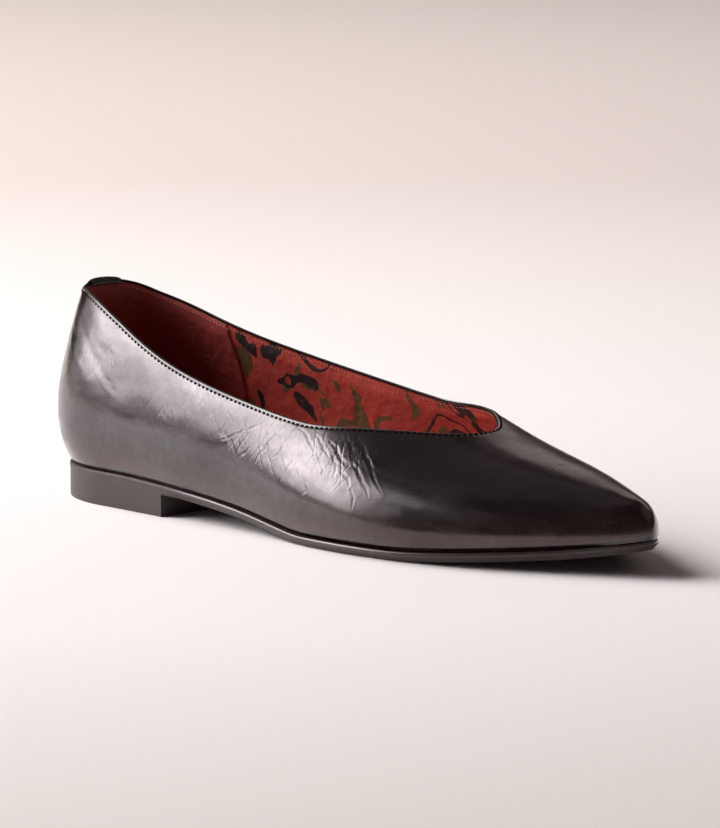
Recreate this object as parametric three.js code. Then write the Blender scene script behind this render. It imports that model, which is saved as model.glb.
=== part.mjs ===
// A women's pointed toe flat, right foot, standing on its heel and the ball of its sole.
// Millimetres. +X runs from heel to toe, +Y to the inner side of the foot, +Z up.
// The origin is the middle of the heel's rest face. Inside this file x is counted
// from the back of the last, and the whole shoe is moved to its origin at the end.

import * as THREE from "three";

// Driving sizes
const lastLength = 254;
const ballWidth = 80;
const heelHeight = 8.5;
const toeSpring = 8;
const backHeight = 59;
const instepHeight = 76;
const sideSwell = 5;
const upperWall = 1.8;
const fitGap = 0.3;

// Length of the closed vamp, from the throat to the tip of the last
const vampLength = 73;

// Round ends of the footprint, and of the crest line above it
const heelRound = 33;
const toeRound = 10;
const backTurn = 16;
const toeTurn = 8;

// Where the side swells most, as a power: a larger one puts it nearer the sole
const swellDrop = 3;

// Powers of a section: a smaller one makes it squarer, at its shoulder or up its flank
const sectionShoulder = 0.9;
const sectionFlank = 0.8;

// Where the sections start to lean with the crest, and from where they do so wholly,
// shares of last length
const leanStart = 0.55;
const leanWhole = 0.75;

// Bead along the topline
const beadHeight = 1.1;

// Strip over the back seam, folded over the topline
const backstayTopWidth = 15;
const backstayFootWidth = 10;
const backstayThickness = 0.9;
const backstayFold = 2.5;
const backstayFootRise = 1.2;

// Sock under the foot
const insoleThickness = 3;
const insoleShoulder = 0.9;

// Sole and heel block
const soleThickness = 3.1;
const soleEdge = 0.8;
const soleRimRound = 0.4;
const soleBevel = 1.2;
const soleRidgeDrop = 1.3;
const bevelRunOut = 9;
const heelLength = 64;
const settleBand = 0.8;

// Sections of the last, heel to toe. at: share of last length; half: half width, and sway:
// shift of the middle to the inner side, shares of half the ball width; arch: height of the
// sole's underside, share of heel height; spring: the same, share of toe spring; swell: share
// of side swell.
const SECTIONS = [
  { at: 0.0, half: 0.65, sway: 0.03, arch: 1.0, spring: 0, swell: 1.0 },
  { at: 0.07, half: 0.64, sway: 0.02, arch: 1.0, spring: 0, swell: 0.9 },
  { at: 0.16, half: 0.66, sway: 0.02, arch: 1.0, spring: 0, swell: 0.75 },
  { at: 0.28, half: 0.73, sway: 0.03, arch: 0.85, spring: 0, swell: 0.65 },
  { at: 0.42, half: 0.82, sway: 0.05, arch: 0.45, spring: 0, swell: 0.6 },
  { at: 0.55, half: 0.97, sway: 0.07, arch: 0, spring: 0, swell: 0.55 },
  { at: 0.66, half: 1.0, sway: 0.08, arch: 0, spring: -0.02, swell: 0.5 },
  { at: 0.74, half: 0.93, sway: 0.08, arch: 0, spring: 0.12, swell: 0.4 },
  { at: 0.84, half: 0.7, sway: 0.07, arch: 0, spring: 0.36, swell: 0.3 },
  { at: 0.93, half: 0.39, sway: 0.04, arch: 0, spring: 0.65, swell: 0.15 },
  { at: 1.0, half: 0.16, sway: 0, arch: 0, spring: 1.0, swell: 0 },
];

// Crest over the last, where the two sides would meet. at: share of last length;
// height: above the featherline, share of instep height
const CREST = [
  { at: 0.0, height: 1.0 },
  { at: 0.08, height: 0.98 },
  { at: 0.2, height: 0.93 },
  { at: 0.35, height: 0.85 },
  { at: 0.5, height: 0.7 },
  { at: 0.64, height: 0.52 },
  { at: 0.75, height: 0.39 },
  { at: 0.85, height: 0.3 },
  { at: 0.93, height: 0.22 },
  { at: 1.0, height: 0.13 },
];

// Topline on each side, from the back to near the throat. at: share of the way from the
// back of the last to the throat; outer, inner: height above the featherline on the
// little toe's side and the big toe's side, shares of back height
const TOPLINE = [
  { at: 0.0, outer: 1.0, inner: 1.0 },
  { at: 0.12, outer: 0.91, inner: 0.87 },
  { at: 0.26, outer: 0.78, inner: 0.74 },
  { at: 0.43, outer: 0.66, inner: 0.65 },
  { at: 0.6, outer: 0.6, inner: 0.61 },
  { at: 0.78, outer: 0.59, inner: 0.6 },
  { at: 0.94, outer: 0.59, inner: 0.6 },
];

// Fineness of the solids
const openRibs = 30;
const vampRibs = 18;
const climbSteps = 10;
const beadSides = 8;
const backstayColumns = 6;
const backstayClimb = 9;
const foldSteps = 6;
const foldLipSteps = 2;
const heelRibs = 12;

const OUTER = -1;
const INNER = 1;
const halfTurn = Math.PI / 2;
const closeEnough = 1e-6;
const throatAt = lastLength - vampLength;

// Smooth curve through the values of a table: a natural cubic spline, level beyond its ends
function curveThrough(at, values) {
  const last = at.length - 1;
  const carry = new Array(last + 1).fill(0);
  const load = new Array(last + 1).fill(0);
  const bend = new Array(last + 1).fill(0);
  for (let i = 1; i < last; i += 1) {
    const before = at[i] - at[i - 1];
    const after = at[i + 1] - at[i];
    const turn = (values[i + 1] - values[i]) / after - (values[i] - values[i - 1]) / before;
    const pivot = 2 * (before + after) + before * carry[i - 1];
    carry[i] = -after / pivot;
    load[i] = (6 * turn - before * load[i - 1]) / pivot;
  }
  for (let i = last - 1; i > 0; i -= 1) {
    bend[i] = carry[i] * bend[i + 1] + load[i];
  }
  return (place) => {
    const p = Math.min(Math.max(place, at[0]), at[last]);
    let i = 0;
    while (i < last - 1 && p > at[i + 1]) {
      i += 1;
    }
    const span = at[i + 1] - at[i];
    const u = p - at[i];
    const v = at[i + 1] - p;
    const cubic = (bend[i] * v ** 3 + bend[i + 1] * u ** 3) / (6 * span);
    const low = (values[i] / span - (bend[i] * span) / 6) * v;
    const high = (values[i + 1] / span - (bend[i + 1] * span) / 6) * u;
    return cubic + low + high;
  };
}

// Curve along the last, from a column of a table worked out by the given rule
function alongLast(rows, rule) {
  const at = rows.map((row) => row.at * lastLength);
  return curveThrough(at, rows.map(rule));
}

const halfBall = ballWidth / 2;
const plainHalf = alongLast(SECTIONS, (row) => row.half * halfBall);
const middle = alongLast(SECTIONS, (row) => row.sway * halfBall);
const swellAt = alongLast(SECTIONS, (row) => row.swell * sideSwell);
const rawUnderside = alongLast(SECTIONS, (row) => row.arch * heelHeight + row.spring * toeSpring);
const crestHeight = alongLast(CREST, (row) => row.height * instepHeight);

// Underside of the sole: what the table puts below the floor is a flat tread on it
function underside(x) {
  const raw = rawUnderside(x);
  if (raw <= 0) {
    return 0;
  }
  return raw < settleBand ? (raw * raw) / (2 * settleBand) : raw - settleBand / 2;
}

function soleTop(x) {
  return underside(x) + soleThickness;
}

// Height of the featherline, where the upper's foot stands just clear of the sole
function feather(x) {
  return soleTop(x) + fitGap;
}

function crest(x) {
  return feather(x) + crestHeight(x);
}

function crestSlope(x) {
  const step = 1;
  return (crest(x + step) - crest(x - step)) / (2 * step);
}

// Height of the upper's rim on one side: the topline less the bead that stands on it
function makeRim(column) {
  const drop = beadHeight + fitGap;
  const at = [...TOPLINE.map((row) => row.at * throatAt), throatAt];
  const rows = TOPLINE.map((row) => row[column] * backHeight - drop);
  const curve = curveThrough(at, [...rows, crestHeight(throatAt)]);
  return (x) => feather(x) + curve(x);
}

function smoothStep(u) {
  const s = Math.min(Math.max(u, 0), 1);
  return s * s * (3 - 2 * s);
}

const rims = { [OUTER]: makeRim("outer"), [INNER]: makeRim("inner") };

// Footprint. A turn of 0 is the back of the heel and 1 the tip of the toe, on either side
function footprint(side, turn) {
  const x = (lastLength * (1 - Math.cos(Math.PI * turn))) / 2;
  const heelShare = Math.max(1 - x / heelRound, 0);
  const toeShare = Math.max(1 - (lastLength - x) / toeRound, 0);
  const round = Math.sqrt(1 - heelShare ** 2) * Math.sqrt(1 - toeShare ** 2);
  return { x, y: middle(x) + side * plainHalf(x) * round };
}

// The footprint carried on past either end, round to the other side
function aroundFootprint(side, turn) {
  if (turn < 0) {
    return footprint(-side, -turn);
  }
  return turn > 1 ? footprint(-side, 2 - turn) : footprint(side, turn);
}

// Footprint moved outward by a margin, or inward by a negative one
function grownFootprint(side, turn, margin) {
  const step = 1e-4;
  const before = aroundFootprint(side, turn - step);
  const after = aroundFootprint(side, turn + step);
  const run = Math.hypot(after.x - before.x, after.y - before.y);
  const base = footprint(side, turn);
  return {
    x: base.x - (side * margin * (after.y - before.y)) / run,
    y: base.y + (side * margin * (after.x - before.x)) / run,
  };
}

// Crest point over a footprint point: the crest line stops short of the last's two ends
function crestAt(x) {
  const fromBack = Math.cbrt(x ** 3 + backTurn ** 3);
  const fromTip = Math.cbrt((lastLength - x) ** 3 + toeTurn ** 3);
  return fromBack - (fromTip - (lastLength - x));
}

// Share of the section's slope that follows the crest: none behind, all of it on the vamp
function vampShare(x) {
  return smoothStep((x / lastLength - leanStart) / (leanWhole - leanStart));
}

// Point of the upper's outer face. Climb is 0 at the featherline and a half turn at the crest
function skin(side, turn, climb) {
  if (turn < 0) {
    return skin(-side, -turn, climb);
  }
  if (turn > 1) {
    return skin(-side, 2 - turn, climb);
  }
  const foot = footprint(side, turn);
  const top = crestAt(foot.x);
  const topY = middle(top);
  const inward = Math.max(Math.cos(climb), 0) ** sectionShoulder;
  const rise = Math.sin(climb) ** sectionFlank;
  const peak = (1 + swellDrop) ** (1 + swellDrop) / swellDrop ** swellDrop;
  const swell = swellAt(foot.x) * peak * rise * (1 - rise) ** swellDrop;
  const dx = foot.x - top;
  const dy = foot.y - topY;
  const reach = Math.hypot(dx, dy);
  const x = top + dx * inward + (dx / reach) * swell;
  const y = topY + dy * inward + (dy / reach) * swell;
  const base = feather(foot.x);
  const follow = crestSlope(top) * vampShare(top) * (x - top) * rise ** 2;
  return new THREE.Vector3(x, y, base + (crest(top) - base) * rise + follow);
}

// Outward direction of the outer face
function skinNormal(side, turn, climb) {
  if (climb > halfTurn - closeEnough) {
    const x = crestAt(footprint(side, turn).x);
    return new THREE.Vector3(-crestSlope(x), 0, 1).normalize();
  }
  const step = 1e-3;
  const alongTurn = skin(side, turn + step, climb).sub(skin(side, turn - step, climb));
  const high = skin(side, turn, Math.min(climb + step, halfTurn));
  const upward = high.sub(skin(side, turn, Math.max(climb - step, 0)));
  return alongTurn.cross(upward).multiplyScalar(-side).normalize();
}

// Climb at which a rib of the upper ends: at its rim, or at the crest where it is closed
function ribEnd(side, turn) {
  if (crestAt(footprint(side, turn).x) >= throatAt - closeEnough) {
    return halfTurn;
  }
  const overRim = (climb) => {
    const point = skin(side, turn, climb);
    return point.z - rims[side](point.x);
  };
  return solve(overRim, 0, 0, halfTurn);
}

// Value of a rising function's argument where it reaches a goal
function solve(rising, goal, from, to) {
  const halvings = 60;
  let low = from;
  let high = to;
  for (let i = 0; i < halvings; i += 1) {
    const guess = (low + high) / 2;
    if (rising(guess) < goal) {
      low = guess;
    } else {
      high = guess;
    }
  }
  return (low + high) / 2;
}

const throatTurn = solve((turn) => crestAt(footprint(OUTER, turn).x), throatAt, 0, 1);

// Turns of the ribs: bunched where the opening closes at the throat
function ribTurns() {
  const bunching = 1.7;
  const turns = [];
  for (let i = 0; i <= openRibs; i += 1) {
    turns.push(throatTurn * (1 - (1 - i / openRibs) ** bunching));
  }
  for (let i = 1; i <= vampRibs; i += 1) {
    turns.push(throatTurn + ((1 - throatTurn) * i) / vampRibs);
  }
  return turns;
}

const TURNS = ribTurns();

// The ribs once round the shoe: heel to toe on the outer side, and back on the inner side
function onceRound(turns) {
  const outer = turns.map((turn, i) => ({ side: OUTER, turn, step: i }));
  const inner = turns.map((turn, i) => ({ side: INNER, turn, step: i }));
  return [...outer, ...inner.slice(1, -1).reverse()];
}

// Gathers triangles whose corners meet exactly, and drops those with no area
class Faces {
  constructor() {
    this.points = [];
    this.known = new Map();
    this.triangles = [];
  }

  corner(point) {
    const perMillimetre = 1e4;
    const place = [point.x, point.y, point.z];
    const key = place.map((value) => Math.round(value * perMillimetre)).join(" ");
    if (!this.known.has(key)) {
      this.known.set(key, this.points.length);
      this.points.push(point);
    }
    return this.known.get(key);
  }

  triangle(a, b, c) {
    const corners = [this.corner(a), this.corner(b), this.corner(c)];
    if (new Set(corners).size === 3) {
      this.triangles.push(corners);
    }
  }

  // Four corners in order, split along the shorter diagonal
  quad(a, b, c, d) {
    if (a.distanceTo(c) <= b.distanceTo(d)) {
      this.triangle(a, b, c);
      this.triangle(a, c, d);
    } else {
      this.triangle(a, b, d);
      this.triangle(b, c, d);
    }
  }

  // Rows of points joined one to the next
  sheet(rows) {
    for (let i = 0; i + 1 < rows.length; i += 1) {
      for (let j = 0; j + 1 < rows[i].length; j += 1) {
        this.quad(rows[i][j], rows[i + 1][j], rows[i + 1][j + 1], rows[i][j + 1]);
      }
    }
  }

  // Geometry with its faces pointing out
  geometry() {
    const volume = this.triangles.reduce((sum, [a, b, c]) => {
      const across = this.points[b].clone().cross(this.points[c]);
      return sum + this.points[a].dot(across);
    }, 0);
    const order = volume > 0 ? [0, 1, 2] : [0, 2, 1];
    const geometry = new THREE.BufferGeometry();
    const flat = this.points.flatMap((point) => [point.x, point.y, point.z]);
    geometry.setAttribute("position", new THREE.Float32BufferAttribute(flat, 3));
    geometry.setIndex(this.triangles.flatMap((corners) => order.map((k) => corners[k])));
    geometry.computeVertexNormals();
    return geometry;
  }
}

// The hollow upper: outer and inner face of each rib, joined at its foot and at its rim
function upperGeometry() {
  const faces = new Faces();
  const ribs = onceRound(TURNS).map((rib) => {
    const end = ribEnd(rib.side, rib.turn);
    const outside = [];
    const inside = [];
    for (let j = 0; j <= climbSteps; j += 1) {
      const climb = (end * j) / climbSteps;
      const point = skin(rib.side, rib.turn, climb);
      const normal = skinNormal(rib.side, rib.turn, climb);
      const within = point.clone().addScaledVector(normal, -upperWall);
      if (j === 0) {
        const foot = grownFootprint(rib.side, rib.turn, -upperWall);
        within.set(foot.x, foot.y, feather(foot.x));
      }
      outside.push(point);
      inside.push(within);
    }
    return { outside, inside, open: rib.step < openRibs };
  });
  ribs.forEach((rib, i) => {
    const next = ribs[(i + 1) % ribs.length];
    faces.sheet([rib.outside, next.outside]);
    faces.sheet([[...rib.inside].reverse(), [...next.inside].reverse()]);
    faces.quad(rib.inside[0], next.inside[0], next.outside[0], rib.outside[0]);
    if (rib.open || next.open) {
      const a = rib.outside[climbSteps];
      const b = next.outside[climbSteps];
      faces.quad(a, b, next.inside[climbSteps], rib.inside[climbSteps]);
    }
  });
  return faces.geometry();
}

// Middle of the upper's rim at one rib, and the way out of the wall
function rimPoint(side, turn) {
  const end = ribEnd(side, turn);
  const normal = skinNormal(side, turn, end);
  const point = skin(side, turn, end).addScaledVector(normal, -upperWall / 2);
  return { point, normal };
}

// Where the back strip's edge meets the rim on one side, with a margin beyond it
function backstayTurn(side, margin) {
  const goal = backstayTopWidth / 2 + margin;
  const spread = (turn) => Math.abs(rimPoint(side, turn).point.y - middle(0));
  return solve(spread, goal, 0, throatTurn / 2);
}

// Bead along the rim, from one edge of the back strip round the throat to the other
function beadGeometry() {
  const faces = new Faces();
  const path = [OUTER, INNER].flatMap((side) => {
    const first = backstayTurn(side, fitGap);
    const own = TURNS.filter((turn) => turn > first && turn < throatTurn);
    const turns = [first, ...own];
    const points = turns.map((turn) => rimPoint(side, turn));
    return side === OUTER ? [...points, rimPoint(OUTER, throatTurn)] : points.reverse();
  });
  const radiusOut = upperWall / 2;
  const radiusUp = beadHeight / 2;
  const rows = path.map((here, i) => {
    const before = path[Math.max(i - 1, 0)].point;
    const after = path[Math.min(i + 1, path.length - 1)].point;
    const along = after.clone().sub(before).normalize();
    const lipward = here.normal.clone().cross(along).normalize();
    const centre = here.point.clone().addScaledVector(lipward, fitGap + radiusUp);
    const ring = [];
    for (let k = 0; k <= beadSides; k += 1) {
      const angle = (2 * Math.PI * (k % beadSides)) / beadSides;
      const out = centre.clone().addScaledVector(here.normal, radiusOut * Math.cos(angle));
      ring.push(out.addScaledVector(lipward, radiusUp * Math.sin(angle)));
    }
    return ring;
  });
  faces.sheet(rows);
  closeEnd(faces, rows[0]);
  closeEnd(faces, [...rows[rows.length - 1]].reverse());
  return faces.geometry();
}

// Flat end of a tube, fanned from its first corner
function closeEnd(faces, ring) {
  for (let k = 1; k + 1 < ring.length - 1; k += 1) {
    faces.triangle(ring[0], ring[k], ring[k + 1]);
  }
}

// Strip over the back seam. Each column climbs the outer face, turns over the rim and
// runs down inside as far as the fold
function backstayGeometry() {
  const faces = new Faces();
  const columns = [];
  for (let i = 0; i <= backstayColumns; i += 1) {
    columns.push(backstayColumn((2 * i) / backstayColumns - 1));
  }
  columns.slice(1).forEach((column, i) => {
    const before = columns[i];
    faces.sheet([before.far, column.far]);
    faces.sheet([[...before.near].reverse(), [...column.near].reverse()]);
    const end = column.far.length - 1;
    faces.quad(before.near[0], column.near[0], column.far[0], before.far[0]);
    faces.quad(before.far[end], column.far[end], column.near[end], before.near[end]);
  });
  const first = columns[0];
  const last = columns[backstayColumns];
  faces.sheet([first.near, first.far]);
  faces.sheet([last.far, last.near]);
  return faces.geometry();
}

// One column of the strip: across runs from -1 at its outer edge to 1 at its inner edge
function backstayColumn(across) {
  const side = across < 0 ? OUTER : INNER;
  const share = Math.abs(across);
  const near = [];
  const far = [];
  const place = (base, direction, clear) => {
    near.push(base.clone().addScaledVector(direction, clear));
    far.push(base.clone().addScaledVector(direction, clear + backstayThickness));
  };
  const turnFor = (width, climb) => {
    const spread = (turn) => Math.abs(skin(side, turn, climb).y - middle(0));
    return share === 0 ? 0 : solve(spread, (share * width) / 2, 0, throatTurn / 2);
  };
  const middleEnd = ribEnd(side, 0);
  const topTurn = turnFor(backstayTopWidth, middleEnd);
  const end = ribEnd(side, topTurn);
  const footRise = (backstayFootRise / crestHeight(0)) ** (1 / sectionFlank);
  for (let j = 0; j <= backstayClimb; j += 1) {
    const way = j / backstayClimb;
    const climb = footRise + (end - footRise) * way;
    const width = backstayFootWidth + (backstayTopWidth - backstayFootWidth) * way;
    const turn = j === backstayClimb ? topTurn : turnFor(width, climb);
    place(skin(side, turn, climb), skinNormal(side, turn, climb), fitGap);
  }
  const stepDown = 0.02;
  const rim = skin(side, topTurn, end);
  const normal = skinNormal(side, topTurn, end);
  const upward = skin(side, topTurn, end - stepDown).sub(rim).normalize().negate();
  const centre = rim.clone().addScaledVector(normal, -upperWall / 2);
  for (let j = 1; j < foldSteps; j += 1) {
    const angle = (Math.PI * j) / foldSteps;
    const out = normal.clone().multiplyScalar(Math.cos(angle));
    place(centre, out.addScaledVector(upward, Math.sin(angle)), upperWall / 2 + fitGap);
  }
  const foldShare = backstayFold / (rim.z - feather(0));
  for (let j = 0; j <= foldLipSteps; j += 1) {
    const climb = end * (1 - (foldShare * j) / foldLipSteps);
    const point = skin(side, topTurn, climb);
    place(point, skinNormal(side, topTurn, climb).negate(), upperWall + fitGap);
  }
  return { near, far };
}

// A plate that follows the footprint: levels from top to bottom, each with its margin
// and the height that it has at a place along the shoe
function plateGeometry(turns, levels) {
  const faces = new Faces();
  const ribs = onceRound(turns);
  const rings = levels.map((level) =>
    ribs.map((rib) => {
      const plan = grownFootprint(rib.side, rib.turn, 0);
      const grown = grownFootprint(rib.side, rib.turn, level.margin(plan.x));
      return new THREE.Vector3(grown.x, grown.y, level.height(grown.x));
    }),
  );
  faces.sheet(rings.map((ring) => [...ring, ring[0]]));
  const across = (ring) => {
    const outer = ring.slice(0, turns.length);
    const inner = [ring[0], ...ring.slice(turns.length).reverse(), ring[turns.length - 1]];
    return [outer, inner];
  };
  const [topOuter, topInner] = across(rings[0]);
  const [bottomOuter, bottomInner] = across(rings[rings.length - 1]);
  faces.sheet([topInner, topOuter]);
  faces.sheet([bottomOuter, bottomInner]);
  return faces.geometry();
}

function insoleGeometry() {
  const side = -(upperWall + fitGap);
  const levels = [
    { margin: () => side - insoleShoulder, height: (x) => feather(x) + insoleThickness },
    { margin: () => side, height: (x) => feather(x) + insoleThickness - insoleShoulder },
    { margin: () => side, height: (x) => feather(x) },
  ];
  return plateGeometry(TURNS, levels);
}

// The thin sole: a rounded rim, an upright band, and a bevel that starts past the heel
function outsoleGeometry() {
  const bevel = (x) => soleBevel * smoothStep((x - heelLength) / bevelRunOut);
  const levels = [
    { margin: () => soleEdge - soleRimRound, height: (x) => soleTop(x) },
    { margin: () => soleEdge, height: (x) => soleTop(x) - soleRimRound },
    { margin: () => soleEdge, height: (x) => soleTop(x) - soleRidgeDrop },
    { margin: (x) => soleEdge - bevel(x), height: (x) => underside(x) },
  ];
  return plateGeometry(TURNS, levels);
}

// The heel block: the sole's outline cut off by a straight upright breast
function heelGeometry() {
  const faces = new Faces();
  const edge = [OUTER, INNER].map((side) => {
    const reach = (turn) => grownFootprint(side, turn, soleEdge).x;
    const breast = solve(reach, heelLength, 0, throatTurn);
    const points = [];
    for (let i = 0; i <= heelRibs; i += 1) {
      points.push(grownFootprint(side, (breast * i) / heelRibs, soleEdge));
    }
    return points;
  });
  const level = (height) =>
    edge.map((points) => points.map((p) => new THREE.Vector3(p.x, p.y, height(p.x))));
  const top = level((x) => underside(x) - fitGap);
  const bottom = level(() => 0);
  faces.sheet([bottom[0], top[0], top[1], bottom[1], bottom[0]]);
  const last = heelRibs;
  faces.quad(bottom[0][last], top[0][last], top[1][last], bottom[1][last]);
  return faces.geometry();
}

// Finish of each piece
const FINISHES = {
  polishedBlack: { color: 0x1d1a1b, roughness: 0.22 },
  beadBlack: { color: 0x242122, roughness: 0.3 },
  sockRed: { color: 0x8f2f28, roughness: 0.6 },
  soleBlack: { color: 0x2c292a, roughness: 0.45 },
  heelGrey: { color: 0x3a3637, roughness: 0.5 },
};

function piece(name, geometry, finish) {
  const material = new THREE.MeshStandardMaterial({ ...FINISHES[finish], metalness: 0 });
  const mesh = new THREE.Mesh(geometry, material);
  mesh.name = name;
  return mesh;
}

const shoe = new THREE.Group();
shoe.add(piece("outsole", outsoleGeometry(), "soleBlack"));
shoe.add(piece("heel", heelGeometry(), "heelGrey"));
shoe.add(piece("insole", insoleGeometry(), "sockRed"));
shoe.add(piece("upper", upperGeometry(), "polishedBlack"));
shoe.add(piece("topline_bead", beadGeometry(), "beadBlack"));
shoe.add(piece("backstay", backstayGeometry(), "polishedBlack"));
shoe.position.set((soleEdge - heelLength) / 2, 0, 0);

export default shoe;
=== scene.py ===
# %% [markdown]
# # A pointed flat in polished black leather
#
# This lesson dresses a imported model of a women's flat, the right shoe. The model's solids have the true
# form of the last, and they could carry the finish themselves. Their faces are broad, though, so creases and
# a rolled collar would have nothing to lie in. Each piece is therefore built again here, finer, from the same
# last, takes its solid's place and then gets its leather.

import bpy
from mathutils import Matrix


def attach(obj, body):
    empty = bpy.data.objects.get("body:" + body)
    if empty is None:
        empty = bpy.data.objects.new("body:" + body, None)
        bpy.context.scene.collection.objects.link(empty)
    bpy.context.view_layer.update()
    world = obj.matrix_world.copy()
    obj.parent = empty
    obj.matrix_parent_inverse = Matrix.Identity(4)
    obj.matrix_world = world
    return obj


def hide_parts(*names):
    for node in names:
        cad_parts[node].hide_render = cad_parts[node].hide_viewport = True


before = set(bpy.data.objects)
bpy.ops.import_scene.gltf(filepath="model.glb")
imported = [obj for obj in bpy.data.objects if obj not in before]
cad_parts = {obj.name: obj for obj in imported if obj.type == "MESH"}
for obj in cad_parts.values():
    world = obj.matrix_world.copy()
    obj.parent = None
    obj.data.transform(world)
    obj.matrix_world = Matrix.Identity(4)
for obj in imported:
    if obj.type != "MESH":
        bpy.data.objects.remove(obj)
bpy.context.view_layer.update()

# %% [markdown]
# ## The last
#
# A shoe is drawn over a last, so everything starts from one. A last could be sculpted, but then no size could
# be changed afterwards. Here it is a few named sizes and short tables of shares, the same ones as the packed
# model has. Lengths are in millimetres, x runs from the back of the last to its tip, +y is the inner side of
# the foot and z is up from the floor.

# %% Sizes of the last and the shoe
import math
from functools import partial

import bmesh
import bpy
import numpy as np
from mathutils import Matrix, Vector
from mathutils.kdtree import KDTree

MM = 0.001
OUTER, INNER = -1, 1
QUARTER_TURN = math.pi / 2

LAST_LENGTH = 254
BALL_WIDTH = 80
HEEL_HEIGHT = 8.5
TOE_SPRING = 8
BACK_HEIGHT = 59
INSTEP_HEIGHT = 76
SIDE_SWELL = 5
WALL = 1.8
FIT_GAP = 0.3
VAMP_LENGTH = 73
HEEL_ROUND, TOE_ROUND = 33, 10
BACK_TURN, TOE_TURN = 16, 8
SWELL_DROP = 3
SHOULDER, FLANK = 0.9, 0.8
LEAN_START, LEAN_WHOLE = 0.55, 0.75
SOLE_THICKNESS = 3.1
SOLE_EDGE = 0.8
HEEL_LENGTH = 64
SETTLE_BAND = 0.8
THROAT = LAST_LENGTH - VAMP_LENGTH

# %% [markdown]
# The tables hold shares of the named sizes, so the last grows as a whole when one size is changed. Each row
# stands at a place along the last, given as a share of its length.

# %% Tables of shares
# at, half width, sway to the inner side, arch, toe spring, side swell
SECTIONS = [
    (0.0, 0.65, 0.03, 1.0, 0, 1.0),
    (0.07, 0.64, 0.02, 1.0, 0, 0.9),
    (0.16, 0.66, 0.02, 1.0, 0, 0.75),
    (0.28, 0.73, 0.03, 0.85, 0, 0.65),
    (0.42, 0.82, 0.05, 0.45, 0, 0.6),
    (0.55, 0.97, 0.07, 0, 0, 0.55),
    (0.66, 1.0, 0.08, 0, -0.02, 0.5),
    (0.74, 0.93, 0.08, 0, 0.12, 0.4),
    (0.84, 0.7, 0.07, 0, 0.36, 0.3),
    (0.93, 0.39, 0.04, 0, 0.65, 0.15),
    (1.0, 0.16, 0, 0, 1.0, 0),
]
# at, height of the crest over the foot
CREST = [
    (0.0, 1.0),
    (0.08, 0.98),
    (0.2, 0.93),
    (0.35, 0.85),
    (0.5, 0.7),
    (0.64, 0.52),
    (0.75, 0.39),
    (0.85, 0.3),
    (0.93, 0.22),
    (1.0, 0.13),
]
# at, height of the topline on the outer side, and on the inner side
TOPLINE = [
    (0.0, 1.0, 1.0),
    (0.12, 0.91, 0.87),
    (0.26, 0.78, 0.74),
    (0.43, 0.66, 0.65),
    (0.6, 0.6, 0.61),
    (0.78, 0.59, 0.6),
    (0.94, 0.59, 0.6),
]

# %% [markdown]
# The rows of a table are far apart. Straight runs between them would show as flats in polished leather, so a
# spline is laid through each column, as a last maker fairs a curve with a batten.


# %% Smooth curves along the last
def curve_through(at, values):
    """Natural cubic spline through the values, level beyond both ends."""
    at, values = np.array(at, float), np.array(values, float)
    gap, last = np.diff(at), len(at) - 1
    system, load = np.eye(last + 1), np.zeros(last + 1)
    for i in range(1, last):
        system[i, i - 1 : i + 2] = gap[i - 1], 2 * (gap[i - 1] + gap[i]), gap[i]
        load[i] = 6 * ((values[i + 1] - values[i]) / gap[i] - (values[i] - values[i - 1]) / gap[i - 1])
    bend = np.linalg.solve(system, load)

    def curve(place):
        p = np.clip(place, at[0], at[-1])
        i = np.clip(np.searchsorted(at, p) - 1, 0, last - 1)
        u, v = p - at[i], at[i + 1] - p
        cubic = (bend[i] * v**3 + bend[i + 1] * u**3) / (6 * gap[i])
        low = (values[i] / gap[i] - bend[i] * gap[i] / 6) * v
        high = (values[i + 1] / gap[i] - bend[i + 1] * gap[i] / 6) * u
        return cubic + low + high

    return curve


def smooth_step(u):
    s = np.clip(u, 0, 1)
    return s * s * (3 - 2 * s)


at, half, sway, arch, spring, swell = np.array(SECTIONS, float).T
at = at * LAST_LENGTH
plain_half = curve_through(at, half * BALL_WIDTH / 2)
middle = curve_through(at, sway * BALL_WIDTH / 2)
swell_at = curve_through(at, swell * SIDE_SWELL)
raw_underside = curve_through(at, arch * HEEL_HEIGHT + spring * TOE_SPRING)
crest_at, crest_share = np.array(CREST, float).T
crest_height = curve_through(crest_at * LAST_LENGTH, crest_share * INSTEP_HEIGHT)


# %% [markdown]
# ## Heights along the shoe
#
# Four lines give the side view: the underside of the sole, its top, the featherline where the upper meets it
# and the crest of the foot. The sole springs up towards the toe and under the arch. It is pressed flat where
# it touches the floor, as a sole is after some wear. The rim of the upper hangs on the featherline too. Each
# side has its own, because the two sides of an ankle differ.


# %% Heights along the shoe
def underside(x):
    """Underside of the sole, settled flat on the floor under the ball."""
    raw = raw_underside(x)
    settled = np.where(raw < SETTLE_BAND, raw**2 / (2 * SETTLE_BAND), raw - SETTLE_BAND / 2)
    return np.where(raw <= 0, 0, settled)


def sole_top(x):
    return underside(x) + SOLE_THICKNESS


def feather(x):
    return sole_top(x) + FIT_GAP


def crest(x):
    return feather(x) + crest_height(x)


def crest_slope(x):
    return (crest(x + 1) - crest(x - 1)) / 2


# How far the rim stands under the topline at each of its rows, on the outer and on the inner side.
OUTER_DROPS = (0.8, -0.9, 1.5, 2.5, 1.6, 0.8, 1.0)
INNER_DROPS = (0.8, 1.0, 1.1, 0.9, 0.8, 0.8, 0.8)


def make_rim(column, drops):
    """Height of the rim over the foot: the topline less the rolled edge that stands on it."""
    rows = np.array(TOPLINE, float)
    heights = rows[:, column] * BACK_HEIGHT - np.array(drops)
    return curve_through([*(rows[:, 0] * THROAT), THROAT], [*heights, float(crest_height(THROAT))])


outer_rim, inner_rim = make_rim(1, OUTER_DROPS), make_rim(2, INNER_DROPS)


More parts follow.
